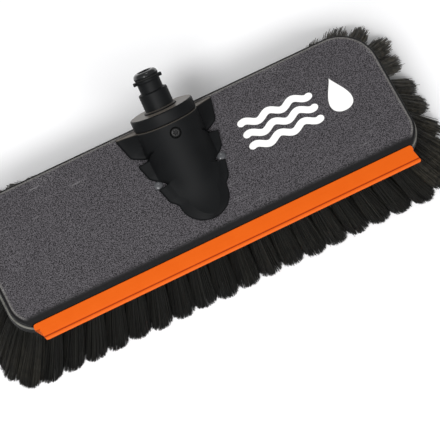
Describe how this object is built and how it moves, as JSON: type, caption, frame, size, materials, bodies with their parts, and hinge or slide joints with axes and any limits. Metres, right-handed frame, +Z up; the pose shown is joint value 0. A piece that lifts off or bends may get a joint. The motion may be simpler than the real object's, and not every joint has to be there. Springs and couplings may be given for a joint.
{
  "type": "flat wash brush head",
  "caption": "Wide flat wash brush head for a pressure-washer lance: flared bristles under a textured cover, a squeegee strip along the front and a swivelling bayonet water inlet.",
  "frame": {"origin": "middle of the footprint, on the surface that the bristle tips stand on", "axes": "+X along the head, +Y towards the spigot and the lance, +Z up out of the cover"},
  "size_m": [0.316, 0.134, 0.0853],
  "materials": {
    "cover_plastic": "fine grained dark grey plastic",
    "black_plastic": "semi-matt black plastic",
    "board_plastic": "matt black plastic",
    "orange_rubber": "satin soft rubber",
    "bristle": "black synthetic filament",
    "seal_rubber": "matt black rubber",
    "steel": "plain stainless screw"
  },
  "bodies": {
    "head": {"deck_cover": "cover_plastic", "bristle_board": "board_plastic", "board_gasket": "seal_rubber", "squeegee_strip": "orange_rubber", "inlet_housing": "black_plastic", "retaining_screw": "steel", "front_tuft_row": "bristle", "inner_tuft_row_1": "bristle", "inner_tuft_row_2": "bristle", "inner_tuft_row_3": "bristle", "inner_tuft_row_4": "bristle", "inner_tuft_row_5": "bristle", "back_tuft_row": "bristle", "left_end_tufts": "bristle", "right_end_tufts": "bristle", "board_screw_1": "steel", "board_screw_2": "steel", "board_screw_3": "steel", "board_screw_4": "steel", "board_screw_5": "steel", "board_screw_6": "steel", "board_screw_7": "steel", "board_screw_8": "steel", "housing_screw_1": "steel", "housing_screw_2": "steel", "housing_screw_3": "steel", "housing_screw_4": "steel"},
    "inlet": {"inlet_spigot": "black_plastic", "tip_o_ring": "seal_rubber", "stem_o_ring": "seal_rubber"}
  },
  "joints": [
    {"name": "spigot_swivel", "type": "hinge", "parent": "head", "child": "inlet", "pos_m": [0, 0.03491, 0.0628], "axis": [0, 0.866, 0.5], "continuous": true}
  ]
}
